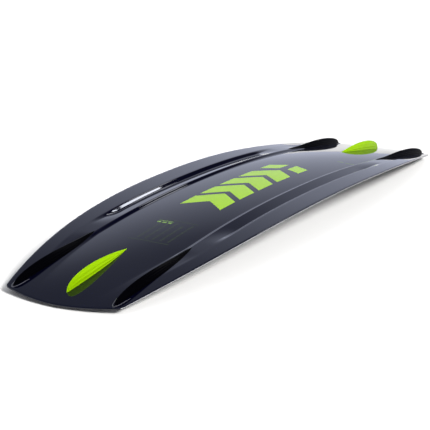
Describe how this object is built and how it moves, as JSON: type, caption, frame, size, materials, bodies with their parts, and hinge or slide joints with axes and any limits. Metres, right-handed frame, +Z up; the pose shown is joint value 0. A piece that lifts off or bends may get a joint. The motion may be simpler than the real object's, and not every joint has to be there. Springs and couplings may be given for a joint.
{
  "type": "wakeboard",
  "caption": "Twin-tip wakeboard lying deck down on its tips, with a moulded gloss base, black side fins, green centre fins and threaded inserts for bindings.",
  "frame": {"origin": "on the surface that the two tips stand on, under the middle of the board", "axes": "+X along the board towards the nose, +Y across it, +Z up out of the base, which faces up while the deck faces down"},
  "size_m": [1.38, 0.426, 0.0745],
  "materials": {
    "base_plastic": "polished",
    "deck_plastic": "satin",
    "rail_plastic": "satin",
    "glass_laminate": "resin over glass cloth",
    "core_foam": "closed-cell foam",
    "stringer_wood": "sanded",
    "insert_block": "machined",
    "brass": "machined",
    "stainless_steel": "brushed",
    "side_fin_plastic": "polished",
    "centre_fin_plastic": "satin"
  },
  "bodies": {
    "root": {"base_glass_laminate": "glass_laminate", "base_sheet": "base_plastic", "binding_insert_nose_left_1": "brass", "binding_insert_nose_left_2": "brass", "binding_insert_nose_left_3": "brass", "binding_insert_nose_left_4": "brass", "binding_insert_nose_left_5": "brass", "binding_insert_nose_right_1": "brass", "binding_insert_nose_right_2": "brass", "binding_insert_nose_right_3": "brass", "binding_insert_nose_right_4": "brass", "binding_insert_nose_right_5": "brass", "binding_insert_tail_left_1": "brass", "binding_insert_tail_left_2": "brass", "binding_insert_tail_left_3": "brass", "binding_insert_tail_left_4": "brass", "binding_insert_tail_left_5": "brass", "binding_insert_tail_right_1": "brass", "binding_insert_tail_right_2": "brass", "binding_insert_tail_right_3": "brass", "binding_insert_tail_right_4": "brass", "binding_insert_tail_right_5": "brass", "centre_fin_nose": "centre_fin_plastic", "centre_fin_tail": "centre_fin_plastic", "core_centre": "core_foam", "core_left": "core_foam", "core_right": "core_foam", "deck_glass_laminate": "glass_laminate", "deck_sheet": "deck_plastic", "fin_block_nose": "insert_block", "fin_block_tail": "insert_block", "fin_nut_nose_1": "brass", "fin_nut_nose_2": "brass", "fin_nut_tail_1": "brass", "fin_nut_tail_2": "brass", "fin_screw_nose_1": "stainless_steel", "fin_screw_nose_2": "stainless_steel", "fin_screw_tail_1": "stainless_steel", "fin_screw_tail_2": "stainless_steel", "fin_washer_nose_1": "stainless_steel", "fin_washer_nose_2": "stainless_steel", "fin_washer_tail_1": "stainless_steel", "fin_washer_tail_2": "stainless_steel", "insert_block_nose_left": "insert_block", "insert_block_nose_right": "insert_block", "insert_block_tail_left": "insert_block", "insert_block_tail_right": "insert_block", "rail_left": "rail_plastic", "rail_right": "rail_plastic", "side_fin_nose_left": "side_fin_plastic", "side_fin_nose_right": "side_fin_plastic", "side_fin_tail_left": "side_fin_plastic", "side_fin_tail_right": "side_fin_plastic", "stringer_left": "stringer_wood", "stringer_right": "stringer_wood", "tip_edge_nose": "rail_plastic", "tip_edge_tail": "rail_plastic"}
  },
  "joints": []
}
